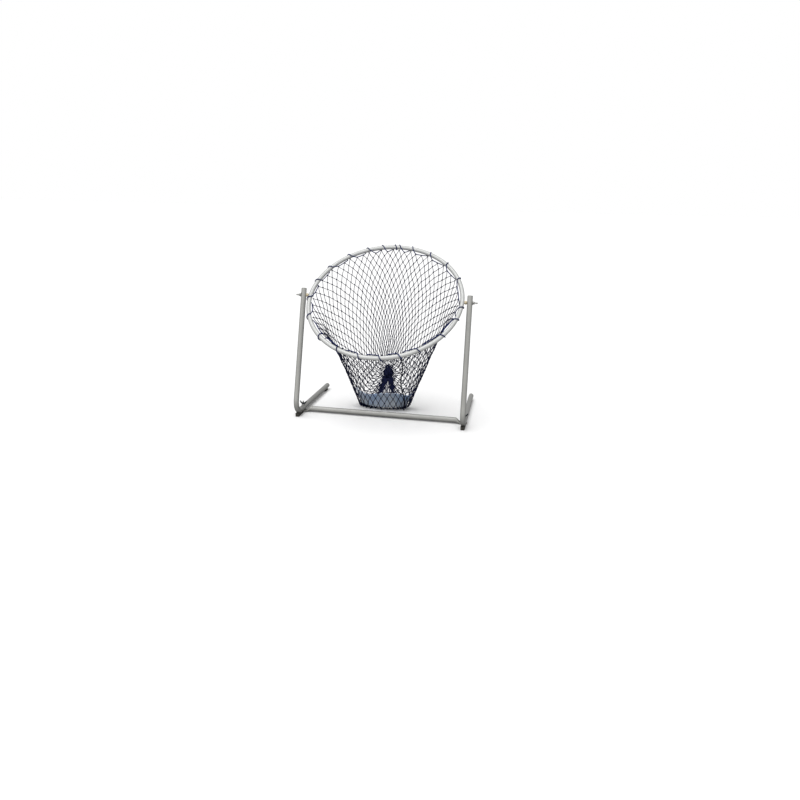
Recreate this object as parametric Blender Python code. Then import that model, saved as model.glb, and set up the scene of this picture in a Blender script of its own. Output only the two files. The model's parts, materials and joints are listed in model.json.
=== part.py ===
"""Golf chipping net: a laced net bag in a tilting tubular hoop, held by two bent-tube legs and a crossbar.

Metres, +Z up, the open mouth faces -Y. The origin is on the floor, under the middle of the whole object.
"""

from math import ceil, cos, exp, floor, pi, radians, sin, tan, tau

import bmesh
import bpy
from mathutils import Matrix, Vector

# Clearances
GAP = 0.0003  # between pieces that touch
BORE_GAP = 0.0003  # round a bolt in its hole, on the radius
MERGE = 0.00001  # points nearer than this are one point

# Frame tubes
TUBE_R = 0.010
TUBE_WALL = 0.0012
FOOT_LENGTH = 0.440  # from the corner where the two centre lines meet to the foot's rear end
PIVOT_Z = 0.462
LEAN = radians(13.3)  # the uprights lean back over the feet
BEND_R = 0.045
ABOVE_PIVOT = 0.024  # upright left over above the pivot bolt
BAR_FROM_CORNER = 0.098  # the crossbar's bolts behind the corner
TONGUE = 0.003  # thickness of the crossbar's pressed ends
TONGUE_WIDEN = 1.3
TONGUE_PAST_BOLT = 0.011
PRESS_START = 0.034  # from the bolt back to where the round tube begins to flatten
PRESS_END = 0.0125
VENT_R = 0.002  # drain hole near each end of the crossbar
VENT_FROM_BOLT = 0.060

# Bolts, washers and wing nuts
BOLT_R = 0.003
HEAD_R = 0.0065
BASE_HEAD = 0.002
PIVOT_HEAD = 0.003
UNDER_HEAD = 0.0008  # floor to the base bolts' heads
WASHER_R = 0.008
WASHER = 0.0012
NUT_R = 0.0055
NUT_TOP_R = 0.0045
NUT_HEIGHT = 0.0075
WING_HALF = 0.0011
WING_OUTLINE = (
    (0.0030, 0.0010),
    (0.0080, 0.0020),
    (0.0125, 0.0080),
    (0.0138, 0.0120),
    (0.0120, 0.0140),
    (0.0090, 0.0125),
    (0.0060, 0.0068),
    (0.0030, 0.0066),
)
BASE_BOLT_OUT = 0.006  # thread showing past a nut
PIVOT_BOLT_OUT = 0.010
SPACER_R = 0.0070
SPACER_FLAT_R = 0.0048

# Hoop of four tube segments, joined by ferrules over an elastic cord
HOOP_R = 0.290
HOOP_TUBE_R = 0.008
SPACER_LENGTH = 0.0094
LEG_X = HOOP_R + HOOP_TUBE_R + GAP + SPACER_LENGTH + GAP + TUBE_R  # middle to a leg's centre line
HOOP_WALL = 0.0012
HOOP_TILT = radians(52)  # hoop's plane back from upright
SEAM = 0.0004
FERRULE_WALL = 0.001
FERRULE_ARC = radians(10)
RING_STEP = radians(5)
END_STUB = radians(0.3)
SHOCK_R = HOOP_TUBE_R * 0.156
SHOCK_PAST_BOLT = 0.485 * (BOLT_R + HOOP_TUBE_R - HOOP_WALL)  # the elastic cord's way past a pivot bolt
SHOCK_STOP_ARC = radians(8)  # from the loose joint to a cord stop
STOP_LENGTH = 0.006

# Lacing
WRAP_ANGLES = (25, 44, 62, 78, 88.5, 92, 102, 114, 130, 149, 165.5, 184.5, 203, 226, 245, 262, 277, 290.5,
               304, 325, 343, 355)  # degrees round the hoop from +X, over the back and the front
LACE_R = 0.0015
LACE_GAP = 0.0006
LACE_TIP_R = HOOP_R - 0.0245  # where the lacing dips to the net's edge
NO_DIP = radians(5)  # between wraps nearer together than this, it stays by the tube
WRAP_HALF_ARC = radians(0.9)
WRAP_FROM = radians(135)  # each wrap runs from here over the tube to the same place behind it
WRAP_STEPS = 8

# Net bag
RIM_R = HOOP_R - 0.028
NET_WALL = 0.002
BASE_X, BASE_FROM_CORNER = -0.020, 0.245  # middle of the bag's base
BASE_RX, BASE_RY = 0.100, 0.060
BASE_Z = 0.002
BACK_RISE = 0.165  # the back of the bag hangs this far above the floor
TIE_X, TIE_FROM_CORNER, TIE_Z = -0.016, 0.302, 0.125
NECK_R = 0.012
NECK_LENGTH = 0.012
NECK_DROP = radians(35)  # the gathered neck points back and down
FOOT_RISE = 0.100  # how high the front of the bag's foot stands up before it slopes to the rim
BELLY_SHAPE = 2.2  # above 1, the slack under the bag lies flat first and then rises to the neck
BAG_SIDES = 24
WALL_RINGS = 9
BELLY_RINGS = 6
LINING_HEIGHTS = (0.065, 0.030, 0.010)  # of its rows up the wall, the top edge first
LINING_START = 0.15  # its first row along the belly
LINING_END = 0.40
LINING_ARC = (radians(175), radians(365))  # round the front of the bag
LINING_STEPS = 12
LINING_OFF = 0.009  # off the net
LINING_WALL = 0.001
TIE_CORD_R = 0.002
TAIL_LENGTH = 0.055
TAIL_R = 0.013
SEAM_CORD_R = 0.002
SEAM_OFF = 0.0016  # off the net, whose faces are flat between its rows
SEAM_TOP, SEAM_FOOT = radians(287), radians(325)  # where the side seam leaves the rim and meets the base

# Rubber glides and plugs
GLIDE_WIDTH = 0.015
FRONT_GLIDE = (0.020, 0.080)  # from and to, behind the corner
REAR_GLIDE = (0.395, 0.425)
GLIDE_UP_TUBE = 0.006  # how far a glide's sides climb the tube
GLIDE_CORNER = 0.004
PLUG_STEM = 0.014
PLUG_LIP = 0.003

SIDES = 16
SMALL_SIDES = 12
BEND_STEPS = 10

# Worked out from the sizes above
BAR_FLOOR = UNDER_HEAD + BASE_HEAD + GAP
FOOT_Z = BAR_FLOOR + TONGUE + GAP + TUBE_R
PIVOT_FROM_CORNER = (PIVOT_Z - FOOT_Z) * tan(LEAN)
LACE_OUT = HOOP_TUBE_R + LACE_GAP + 2 * LACE_R
FRONT = PIVOT_FROM_CORNER - HOOP_R * sin(HOOP_TILT) - LACE_OUT
REAR = FOOT_LENGTH + PLUG_LIP
CORNER_Y = -(FRONT + REAR) / 2
PIVOT = Vector((0, CORNER_Y + PIVOT_FROM_CORNER, PIVOT_Z))
HOOP_ACROSS = Vector((1, 0, 0))
HOOP_UP = Vector((0, sin(HOOP_TILT), cos(HOOP_TILT)))
HOOP_OUT = HOOP_ACROSS.cross(HOOP_UP)  # square to the hoop's plane, towards the player
UPRIGHT = Vector((0, sin(LEAN), cos(LEAN)))
BAR_Y = CORNER_Y + BAR_FROM_CORNER
TIE = Vector((TIE_X, CORNER_Y + TIE_FROM_CORNER, TIE_Z))
NECK_AXIS = Vector((0, cos(NECK_DROP), -sin(NECK_DROP)))


def material(name, colour, roughness, metallic=0.0):
    mat = bpy.data.materials.new(name)
    mat.use_nodes = True
    shader = mat.node_tree.nodes["Principled BSDF"]
    shader.inputs["Base Color"].default_value = (*colour, 1)
    shader.inputs["Roughness"].default_value = roughness
    shader.inputs["Metallic"].default_value = metallic
    return mat


def add(name, mesh, mat, smooth=True):
    """A named object at the origin."""
    obj = bpy.data.objects.new(name, mesh)
    bpy.context.scene.collection.objects.link(obj)
    mesh.materials.clear()
    mesh.materials.append(mat)
    if smooth:
        mesh.shade_smooth()
        mesh.set_sharp_from_angle(angle=radians(35))
    return obj


def mesh_of(bm, name):
    mesh = bpy.data.meshes.new(name)
    bm.to_mesh(mesh)
    bm.free()
    return mesh


def place(obj, point, direction):
    """Puts an object's origin at a point, with its Z along a direction."""
    turn = Vector(direction).to_track_quat("Z", "X")
    obj.matrix_world = Matrix.Translation(point) @ turn.to_matrix().to_4x4()


def turned(name, outline, sides, ring=False):
    """A solid turned about Z from (radius, height) points; a ring's outline closes on itself."""
    bm = bmesh.new()
    verts = [bm.verts.new((r, 0, z)) for r, z in outline]
    edges = [bm.edges.new(pair) for pair in zip(verts, verts[1:])]
    if ring:
        edges.append(bm.edges.new((verts[-1], verts[0])))
    bmesh.ops.spin(bm, geom=verts + edges, axis=(0, 0, 1), cent=(0, 0, 0), angle=tau, steps=sides,
                   use_merge=True)
    bmesh.ops.remove_doubles(bm, verts=bm.verts, dist=MERGE)
    bmesh.ops.recalc_face_normals(bm, faces=bm.faces)
    return mesh_of(bm, name)


def swept(name, points, radius, sides, closed=False, caps=False):
    """The skin of a round tube along points."""
    curve = bpy.data.curves.new(name, "CURVE")
    curve.dimensions = "3D"
    curve.bevel_depth = radius
    curve.bevel_resolution = (sides - 4) // 2
    curve.use_fill_caps = caps
    spline = curve.splines.new("POLY")
    spline.points.add(len(points) - 1)
    for spot, point in zip(spline.points, points):
        spot.co = (*point, 1)
    spline.use_cyclic_u = closed
    obj = bpy.data.objects.new(name, curve)
    mesh = bpy.data.meshes.new_from_object(obj)
    bpy.data.objects.remove(obj)
    bpy.data.curves.remove(curve)
    bm = bmesh.new()
    bm.from_mesh(mesh)
    bmesh.ops.remove_doubles(bm, verts=bm.verts, dist=MERGE)
    bmesh.ops.recalc_face_normals(bm, faces=bm.faces)
    bm.to_mesh(mesh)
    bm.free()
    return mesh


def hollow(obj, wall):
    """Gives a skin its wall, inwards."""
    shell = obj.modifiers.new("wall", "SOLIDIFY")
    shell.thickness = wall
    shell.offset = -1
    shell.use_even_offset = True


def helper(name, mesh):
    """An object that only shapes another."""
    obj = bpy.data.objects.new(name, mesh)
    bpy.context.scene.collection.objects.link(obj)
    obj.hide_render = True
    obj.display_type = "WIRE"
    return obj


def hang(word, point, names):
    """Parents pieces to an empty on the axis they turn about, without moving them."""
    empty = bpy.data.objects.new(word, None)
    bpy.context.scene.collection.objects.link(empty)
    empty.location = point
    bpy.context.view_layer.update()
    for name in names:
        obj = bpy.data.objects[name]
        obj.parent = empty
        obj.matrix_parent_inverse = empty.matrix_world.inverted()


def combine(obj, other, operation="DIFFERENCE"):
    mod = obj.modifiers.new(other.name, "BOOLEAN")
    mod.object = other
    mod.operation = operation
    mod.solver = "EXACT"


def rod(name, point, direction, radius, length, sides=SMALL_SIDES):
    """A plain round helper centred on a point."""
    bm = bmesh.new()
    bmesh.ops.create_cone(bm, cap_ends=True, segments=sides, radius1=radius, radius2=radius, depth=length)
    obj = helper(name, mesh_of(bm, name))
    place(obj, point, direction)
    return obj


def baked(obj):
    """The finished mesh of an object with its helpers applied; the object and its helpers go."""
    helpers = [mod.object for mod in obj.modifiers if mod.type == "BOOLEAN"]
    bpy.context.view_layer.update()
    graph = bpy.context.evaluated_depsgraph_get()
    mesh = bpy.data.meshes.new_from_object(obj.evaluated_get(graph))
    for gone in [obj, *helpers]:
        bpy.data.objects.remove(gone)
    return mesh


def leg_line(side):
    """Centre line of a leg, from the foot's rear end round the bend to the top of the upright."""
    x = side * LEG_X
    corner = Vector((x, CORNER_Y, FOOT_Z))
    turn = pi / 2 + LEAN
    reach = BEND_R * tan(turn / 2)
    centre = corner + Vector((0, reach, BEND_R))
    points = [corner + Vector((0, FOOT_LENGTH, 0))]
    for step in range(BEND_STEPS + 1):
        a = turn * step / BEND_STEPS
        points.append(centre + BEND_R * Vector((0, -sin(a), -cos(a))))
    above = (PIVOT_Z - FOOT_Z) / cos(LEAN) + ABOVE_PIVOT
    points.append(corner + above * UPRIGHT)
    return points


def build_leg(side, word, paint):
    line = leg_line(side)
    leg = add(f"{word}_leg", swept("leg", line, TUBE_R, SIDES), paint)
    hollow(leg, TUBE_WALL)
    through = 4 * TUBE_R
    pivot = PIVOT + Vector((side * LEG_X, 0, 0))
    base = Vector((side * LEG_X, BAR_Y, FOOT_Z))
    combine(leg, rod(f"{word}_pivot_hole", pivot, (1, 0, 0), BOLT_R + BORE_GAP, through))
    combine(leg, rod(f"{word}_base_hole", base, (0, 0, 1), BOLT_R + BORE_GAP, through))


def build_plugs(side, word, plastic):
    line = leg_line(side)
    stem = TUBE_R - TUBE_WALL - GAP
    outline = [
        (0, -PLUG_STEM),
        (stem - 0.001, -PLUG_STEM),
        (stem, -PLUG_STEM + 0.001),
        (stem, GAP),
        (TUBE_R, GAP),
        (TUBE_R, PLUG_LIP * 0.4),
        (TUBE_R * 0.85, PLUG_LIP * 0.85),
        (TUBE_R * 0.5, PLUG_LIP),
        (0, PLUG_LIP),
    ]
    place(add(f"{word}_foot_plug", turned("plug", outline, SIDES), plastic), line[0], (0, 1, 0))
    place(add(f"{word}_top_plug", turned("plug", outline, SIDES), plastic), line[-1], UPRIGHT)


def build_glide(side, word, span, rubber):
    """A rubber block under the foot, hollowed to the tube it is pushed on to."""
    start, end = span
    height = FOOT_Z - TUBE_R + GLIDE_UP_TUBE
    bm = bmesh.new()
    bmesh.ops.create_cube(bm, size=1)
    bmesh.ops.scale(bm, vec=(GLIDE_WIDTH, end - start, height), verts=bm.verts)
    middle = Vector((side * LEG_X, CORNER_Y + (start + end) / 2, height / 2))
    bmesh.ops.translate(bm, vec=middle, verts=bm.verts)
    upright_edges = [e for e in bm.edges if abs(e.verts[0].co.z - e.verts[1].co.z) > height / 2]
    bmesh.ops.bevel(bm, geom=upright_edges, offset=GLIDE_CORNER, segments=4, profile=0.5, affect="EDGES",
                    material=-1)
    glide = add(f"{word}_glide", mesh_of(bm, "glide"), rubber)
    room = helper(f"{word}_glide_room", swept("room", leg_line(side), TUBE_R + GAP, SIDES, caps=True))
    combine(glide, room)


def build_crossbar(paint):
    half = LEG_X + TONGUE_PAST_BOLT
    bm = bmesh.new()
    bmesh.ops.create_cone(bm, cap_ends=True, segments=SIDES, radius1=TUBE_R, radius2=TUBE_R, depth=2 * half)
    bmesh.ops.rotate(bm, cent=(0, 0, 0), matrix=Matrix.Rotation(pi / 2, 3, "Y"), verts=bm.verts)
    cuts = 6
    for side in (-1, 1):
        for cut in range(cuts + 1):
            x = LEG_X - PRESS_START + (PRESS_START - PRESS_END) * cut / cuts
            everything = bm.verts[:] + bm.edges[:] + bm.faces[:]
            bmesh.ops.bisect_plane(bm, geom=everything, plane_co=(side * x, 0, 0), plane_no=(1, 0, 0))
    for vert in bm.verts:
        along = (abs(vert.co.x) - (LEG_X - PRESS_START)) / (PRESS_START - PRESS_END)
        along = min(max(along, 0), 1)
        press = along * along * (3 - 2 * along)
        flat_z = min(max(vert.co.z, -TONGUE / 2), TONGUE / 2)
        vert.co.z += press * (flat_z - vert.co.z - TUBE_R + TONGUE / 2)
        vert.co.y *= 1 + press * (TONGUE_WIDEN - 1)
    middle = Vector((0, BAR_Y, BAR_FLOOR + TUBE_R))
    bmesh.ops.translate(bm, vec=middle, verts=bm.verts)
    bar = add("crossbar", mesh_of(bm, "crossbar"), paint)
    inside = 2 * (LEG_X - PRESS_START)
    combine(bar, rod("bar_hollow", middle, (1, 0, 0), TUBE_R - TUBE_WALL, inside, SIDES))
    for side, word in ((-1, "left"), (1, "right")):
        bolt = Vector((side * LEG_X, BAR_Y, BAR_FLOOR))
        vent = Vector((side * (LEG_X - VENT_FROM_BOLT), BAR_Y, BAR_FLOOR))
        combine(bar, rod(f"bar_{word}_hole", bolt, (0, 0, 1), BOLT_R + BORE_GAP, 4 * TONGUE))
        combine(bar, rod(f"bar_{word}_vent", vent, (0, 0, 1), VENT_R, TUBE_R))


def bolt_mesh(name, head, length):
    """A dome-head bolt: the underside of the head is at 0 and the shank runs up Z."""
    outline = [
        (0, -head),
        (HEAD_R * 0.55, -head * 0.9),
        (HEAD_R * 0.9, -head * 0.5),
        (HEAD_R, -head * 0.15),
        (HEAD_R, 0),
        (BOLT_R, 0),
        (BOLT_R, length - 0.001),
        (BOLT_R - 0.0008, length),
        (0, length),
    ]
    return turned(name, outline, SMALL_SIDES)


def washer_mesh():
    inner = BOLT_R + BORE_GAP
    outline = [(inner, 0), (WASHER_R, 0), (WASHER_R, WASHER), (inner, WASHER)]
    return turned("washer", outline, SMALL_SIDES, ring=True)


def wing_nut_mesh():
    """A round nut body with two upswept wings, its seat at 0."""
    body_outline = [
        (0, 0),
        (NUT_R, 0),
        (NUT_R, NUT_HEIGHT * 0.25),
        (NUT_TOP_R, NUT_HEIGHT),
        (0, NUT_HEIGHT),
    ]
    nut = helper("nut_body", turned("nut_body", body_outline, SMALL_SIDES))
    for side in (-1, 1):
        bm = bmesh.new()
        outline = bm.faces.new([bm.verts.new((side * x, -WING_HALF, z)) for x, z in WING_OUTLINE])
        grown = bmesh.ops.extrude_face_region(bm, geom=[outline])["geom"]
        lifted = [item for item in grown if isinstance(item, bmesh.types.BMVert)]
        bmesh.ops.translate(bm, vec=(0, 2 * WING_HALF, 0), verts=lifted)
        bmesh.ops.recalc_face_normals(bm, faces=bm.faces)
        combine(nut, helper(f"nut_wing_{side}", mesh_of(bm, "nut_wing")), "UNION")
    combine(nut, rod("nut_bore", (0, 0, 0), (0, 0, 1), BOLT_R + BORE_GAP, 4 * NUT_HEIGHT))
    return baked(nut)


def build_base_fixing(side, word, steel, dark):
    x = side * LEG_X
    washer_z = FOOT_Z + TUBE_R + GAP
    nut_z = washer_z + WASHER + GAP
    length = nut_z + NUT_HEIGHT + BASE_BOLT_OUT - (BAR_FLOOR - GAP)
    bolt = add(f"{word}_base_bolt", bolt_mesh("base_bolt", BASE_HEAD, length), steel)
    place(bolt, (x, BAR_Y, BAR_FLOOR - GAP), (0, 0, 1))
    place(add(f"{word}_base_washer", washer_mesh(), steel), (x, BAR_Y, washer_z), (0, 0, 1))
    nut = add(f"{word}_base_wing_nut", wing_nut_mesh(), dark)
    place(nut, (x, BAR_Y, nut_z), (0, 0, 1))


def build_pivot_fixing(side, word, steel, cream):
    """Bolt out through the hoop, a round spacer and the upright, with a washer and a wing nut outside."""
    out = Vector((side, 0, 0))
    head = PIVOT + (HOOP_R - HOOP_TUBE_R - GAP) * out
    spacer_from = HOOP_R + HOOP_TUBE_R + GAP
    spacer_to = LEG_X - TUBE_R - GAP
    washer_at = LEG_X + TUBE_R + GAP
    nut_at = washer_at + WASHER + GAP
    length = nut_at + NUT_HEIGHT + PIVOT_BOLT_OUT - (HOOP_R - HOOP_TUBE_R - GAP)
    place(add(f"{word}_pivot_bolt", bolt_mesh("pivot_bolt", PIVOT_HEAD, length), steel), head, out)
    half = (spacer_to - spacer_from) / 2
    inner = BOLT_R + BORE_GAP
    outline = [
        (inner, -half),
        (SPACER_FLAT_R, -half),
        (SPACER_R * 0.88, -half * 0.62),
        (SPACER_R, 0),
        (SPACER_R * 0.88, half * 0.62),
        (SPACER_FLAT_R, half),
        (inner, half),
    ]
    spacer = add(f"{word}_pivot_spacer", turned("spacer", outline, SMALL_SIDES, ring=True), cream)
    place(spacer, PIVOT + (spacer_from + half) * out, out)
    place(add(f"{word}_pivot_washer", washer_mesh(), steel), PIVOT + washer_at * out, out)
    nut = wing_nut_mesh()
    nut.transform(Matrix.Rotation(pi / 2, 4, "Z"))  # wings level
    place(add(f"{word}_pivot_wing_nut", nut, steel), PIVOT + nut_at * out, out)


def hoop_point(angle, radius=HOOP_R, out=0.0):
    """A point at an angle round the hoop, from +X up over the back; out is off its plane."""
    spoke = cos(angle) * HOOP_ACROSS + sin(angle) * HOOP_UP
    return PIVOT + radius * spoke + out * HOOP_OUT


def hoop_arc(start, end):
    """Points round the hoop at each whole ring step, with a short straight stub that squares off each end."""
    first = floor(start / RING_STEP + 0.1) + 1
    last = ceil(end / RING_STEP - 0.1) - 1
    steps = [step * RING_STEP for step in range(first, last + 1)]
    return [hoop_point(a) for a in (start, start + END_STUB, *steps, end - END_STUB, end)]


def build_hoop(paint, steel, elastic, plastic):
    half_seam = SEAM / 2 / HOOP_R
    words = ("top", "left", "bottom", "right")
    for index, word in enumerate(words):
        start = radians(45 + 90 * index)
        end = start + pi / 2
        skin = swept("segment", hoop_arc(start + half_seam, end - half_seam), HOOP_TUBE_R, SMALL_SIDES)
        segment = add(f"hoop_{word}_segment", skin, paint)
        hollow(segment, HOOP_WALL)
        if word in ("left", "right"):
            middle = hoop_point((start + end) / 2)
            hole = rod(f"hoop_{word}_hole", middle, (1, 0, 0), BOLT_R + BORE_GAP, 4 * HOOP_TUBE_R)
            combine(segment, hole)
        skin = swept("ferrule", hoop_arc(start - FERRULE_ARC / 2, start + FERRULE_ARC / 2),
                     HOOP_TUBE_R - HOOP_WALL - GAP, SMALL_SIDES)
        ferrule = add(f"hoop_ferrule_{index + 1}", skin, steel)
        hollow(ferrule, FERRULE_WALL)
    loose = radians(45)
    inset = SHOCK_STOP_ARC
    line = []
    steps = 68
    for step in range(steps + 1):
        angle = loose + inset + (tau - 2 * inset) * step / steps
        from_bolt = abs((angle + pi / 2) % pi - pi / 2)
        aside = SHOCK_PAST_BOLT * exp(-((from_bolt / radians(9)) ** 4))
        line.append(hoop_point(angle, out=aside))
    add("shock_cord", swept("shock_cord", line, SHOCK_R, 6, caps=True), elastic)
    stop_r = HOOP_TUBE_R - HOOP_WALL - 2 * GAP
    inner = SHOCK_R + GAP
    outline = [(inner, 0), (stop_r, 0), (stop_r, STOP_LENGTH), (inner, STOP_LENGTH)]
    for number, sign in ((1, 1), (2, -1)):
        angle = loose + sign * inset
        along = sign * (sin(angle) * -HOOP_ACROSS + cos(angle) * HOOP_UP)
        stop = add(f"shock_cord_stop_{number}", turned("stop", outline, SMALL_SIDES, ring=True), plastic)
        place(stop, hoop_point(angle + sign * radians(0.4)), along)


def build_lacing(cord):
    """One cord, wound round the hoop and dipping to the net's edge between wraps."""
    wrap_r = HOOP_TUBE_R + LACE_GAP + LACE_R
    round_tube = [WRAP_FROM * (1 - 2 * i / WRAP_STEPS) for i in range(WRAP_STEPS + 1)]
    angles = [radians(a) for a in WRAP_ANGLES]
    line = []
    for angle, following in zip(angles, [*angles[1:], angles[0] + tau]):
        for a in round_tube:
            drift = -a / WRAP_FROM * WRAP_HALF_ARC
            line.append(hoop_point(angle + drift, HOOP_R + wrap_r * cos(a), wrap_r * sin(a)))
        tip_r = LACE_TIP_R if following - angle > NO_DIP else HOOP_R - wrap_r / cos(WRAP_FROM / 4)
        line.append(hoop_point((angle + following) / 2, tip_r))
    add("lacing_cord", swept("lacing_cord", line, LACE_R, 6, closed=True), cord)


def rim_point(angle):
    return hoop_point(angle, RIM_R)


def base_point(angle):
    """Where the bag's wall meets the floor, or its lowest line at the back."""
    rise = BACK_RISE * max(0, sin(angle)) ** 1.5
    y = CORNER_Y + BASE_FROM_CORNER + BASE_RY * sin(angle)
    return Vector((BASE_X + BASE_RX * cos(angle), y, BASE_Z + rise))


def neck_point(angle, back=0.0, radius=NECK_R):
    """A point round the gathered neck, which ends at the tie point and starts back from it."""
    across = Vector((1, 0, 0))
    up = across.cross(NECK_AXIS)
    return TIE - back * NECK_AXIS + radius * (cos(angle) * across + sin(angle) * up)


def wall_point(angle, down):
    """On the bag's wall: down is 0 at the rim and 1 at the base, where the foot's front stands upright."""
    rim, base = rim_point(angle), base_point(angle)
    heel = base + Vector((0, 0, FOOT_RISE))
    bend = rim.lerp(base, 0.5).lerp(heel, max(0, -sin(angle)))
    return rim.lerp(bend, down).lerp(bend.lerp(base, down), down)


def wall_at(angle, height):
    """The point of the wall at a height, found by halving."""
    low, high = 0.0, 1.0
    for _ in range(20):
        middle = (low + high) / 2
        if wall_point(angle, middle).z > height:
            low = middle
        else:
            high = middle
    return wall_point(angle, middle)


def belly_point(angle, along):
    """On the slack under the bag: along is 0 at the base and 1 at the gathered neck."""
    low, high = base_point(angle), neck_point(angle, NECK_LENGTH)
    point = low.lerp(high, along)
    point.z = low.z + (high.z - low.z) * along**BELLY_SHAPE
    return point


def lofted(name, rows, mat, wall, ring=True):
    """A skin lofted through rows of points, with its wall grown inwards; a ring's last row is closed over."""
    bm = bmesh.new()
    verts = [bm.verts.new(point) for point in rows[0]]
    pairs = list(zip(verts, verts[1:]))
    if ring:
        pairs.append((verts[-1], verts[0]))
    edges = [bm.edges.new(pair) for pair in pairs]
    for row in rows[1:]:
        grown = bmesh.ops.extrude_edge_only(bm, edges=edges)["geom"]
        new = {item for item in grown if isinstance(item, bmesh.types.BMVert)}
        edges = [e for e in grown if isinstance(e, bmesh.types.BMEdge) and new.issuperset(e.verts)]
        verts = [next(e.other_vert(v) for e in v.link_edges if e.other_vert(v) in new) for v in verts]
        for vert, point in zip(verts, row):
            vert.co = point
    if ring:
        bm.faces.new(verts)
    bmesh.ops.recalc_face_normals(bm, faces=bm.faces)
    shell = add(name, mesh_of(bm, name), mat)
    hollow(shell, wall)


def angles_round():
    return [tau * i / BAG_SIDES for i in range(BAG_SIDES)]


def build_bag(twine):
    rings = [[wall_point(a, i / WALL_RINGS) for a in angles_round()] for i in range(WALL_RINGS)]
    rings += [[belly_point(a, i / BELLY_RINGS) for a in angles_round()] for i in range(BELLY_RINGS + 1)]
    rings.append([neck_point(a) for a in angles_round()])
    lofted("net_bag", rings, twine, NET_WALL)


def build_lining(cloth):
    """A band of cloth inside the foot of the bag, round its front."""
    first, last = LINING_ARC
    angles = [first + (last - first) * i / LINING_STEPS for i in range(LINING_STEPS + 1)]
    middle = Vector((BASE_X, CORNER_Y + BASE_FROM_CORNER, 0))
    rows = []
    for height in LINING_HEIGHTS:
        row = []
        for angle in angles:
            net = wall_at(angle, height)
            inward = Vector((middle.x - net.x, middle.y - net.y, 0)).normalized()
            row.append(net + LINING_OFF * (inward + Vector((0, 0, 0.5))))
        rows.append(row)
    for along in (LINING_START, LINING_END):
        rows.append([belly_point(angle, along) + Vector((0, 0, LINING_OFF)) for angle in angles])
    lofted("base_lining", rows, cloth, LINING_WALL, ring=False)


def build_neck(twine, dark):
    """The cord bound round the gathered neck, and the tail of netting beyond it."""
    ring = [neck_point(a, NECK_LENGTH / 3, NECK_R + TIE_CORD_R + GAP) for a in angles_round()]
    add("gather_tie", swept("gather_tie", ring, TIE_CORD_R, 8, closed=True), dark)
    outline = [
        (0, 0),
        (TAIL_R * 0.7, 0),
        (TAIL_R, TAIL_LENGTH * 0.25),
        (TAIL_R * 0.95, TAIL_LENGTH * 0.6),
        (TAIL_R * 0.55, TAIL_LENGTH * 0.9),
        (0, TAIL_LENGTH),
    ]
    tail = add("net_tail", turned("net_tail", outline, SMALL_SIDES), twine)
    place(tail, TIE + 2 * GAP * NECK_AXIS, NECK_AXIS)


def build_seam(cord):
    """The heavier cord that joins the netting's two edges, down the outside of the wall."""
    line = []
    steps = 24
    nudge = 0.04  # to either side, for the wall's directions
    for step in range(1, steps):
        down = step / steps
        angle = SEAM_TOP + (SEAM_FOOT - SEAM_TOP) * down
        across = wall_point(angle + nudge, down) - wall_point(angle - nudge, down)
        along = wall_point(angle, min(down + nudge, 1)) - wall_point(angle, down - nudge)
        outward = along.cross(across).normalized()
        line.append(wall_point(angle, down) + (SEAM_CORD_R + SEAM_OFF) * outward)
    add("seam_cord", swept("seam_cord", line, SEAM_CORD_R, 8, caps=True), cord)


def main():
    for obj in list(bpy.data.objects):
        bpy.data.objects.remove(obj)
    coat = material("grey_coating", (0.50, 0.49, 0.46), 0.42)
    hoop_coat = material("pale_coating", (0.68, 0.67, 0.62), 0.40)
    zinc = material("zinc", (0.48, 0.48, 0.47), 0.35, 1.0)
    black = material("black_steel", (0.02, 0.025, 0.03), 0.5)
    rubber = material("black_rubber", (0.015, 0.015, 0.016), 0.8)
    plastic = material("grey_plastic", (0.42, 0.42, 0.40), 0.5)
    cream = material("cream_plastic", (0.70, 0.62, 0.45), 0.45)
    twine = material("navy_twine", (0.012, 0.018, 0.05), 0.75)
    lace = material("navy_lacing", (0.010, 0.020, 0.085), 0.7)
    seam = material("black_cord", (0.008, 0.010, 0.022), 0.75)
    elastic = material("elastic_cord", (0.03, 0.03, 0.035), 0.8)
    lining = material("pale_blue_cloth", (0.45, 0.58, 0.78), 0.8)
    for side, word in ((-1, "left"), (1, "right")):
        build_leg(side, word, coat)
        build_plugs(side, word, plastic)
        build_glide(side, f"{word}_front", FRONT_GLIDE, rubber)
        build_glide(side, f"{word}_rear", REAR_GLIDE, rubber)
        build_base_fixing(side, word, zinc, black)
        build_pivot_fixing(side, word, zinc, cream)
    build_crossbar(coat)
    build_hoop(hoop_coat, zinc, elastic, plastic)
    build_lacing(lace)
    build_bag(twine)
    build_lining(lining)
    build_neck(twine, seam)
    build_seam(seam)
    on_hoop = ("hoop_", "shock_cord", "lacing_cord")
    on_bolts = ("_pivot_bolt", "_pivot_spacer")
    names = [o.name for o in bpy.data.objects if o.name.startswith(on_hoop) or o.name.endswith(on_bolts)]
    hang("hoop_pivot_axis", PIVOT, names)


main()
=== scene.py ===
"""A golf chipping net: knotted bag, lacing and cords, coated tubes, hardware and finishes.

Metres, +Z up, the open mouth faces -Y. Places come from the frame; sizes are named values.
"""

import json
from bisect import bisect_left
from math import ceil, cos, pi, radians, sin, tan, tau
from random import Random

import bmesh
import bpy
from mathutils import Matrix, Vector


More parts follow.
